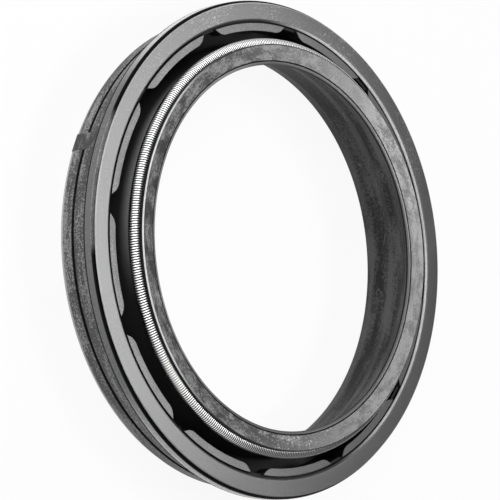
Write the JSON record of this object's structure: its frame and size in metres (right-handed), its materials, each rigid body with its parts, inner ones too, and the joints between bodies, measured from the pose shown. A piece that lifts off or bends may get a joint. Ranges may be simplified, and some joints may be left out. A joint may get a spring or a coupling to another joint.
{
  "type": "fork dust seal",
  "caption": "Moulded rubber ring that presses into the mouth of a fork's outer tube, with a grooved flange, inward tabs and a garter-sprung wiper lip that cleans the sliding tube.",
  "frame": {"origin": "centre of the ring's bottom face, which is pushed into the housing first", "axes": "+Z along the ring's axis, from the bottom face towards the wiper lip; +X through the middle of a tab"},
  "size_m": [0.0576, 0.0576, 0.0095],
  "materials": {
    "rubber": "moulded nitrile rubber, satin, dusty and lightly scuffed",
    "spring_steel": "bright drawn spring wire"
  },
  "bodies": {
    "root": {"seal_ring": "rubber", "garter_spring": "spring_steel"}
  },
  "joints": []
}
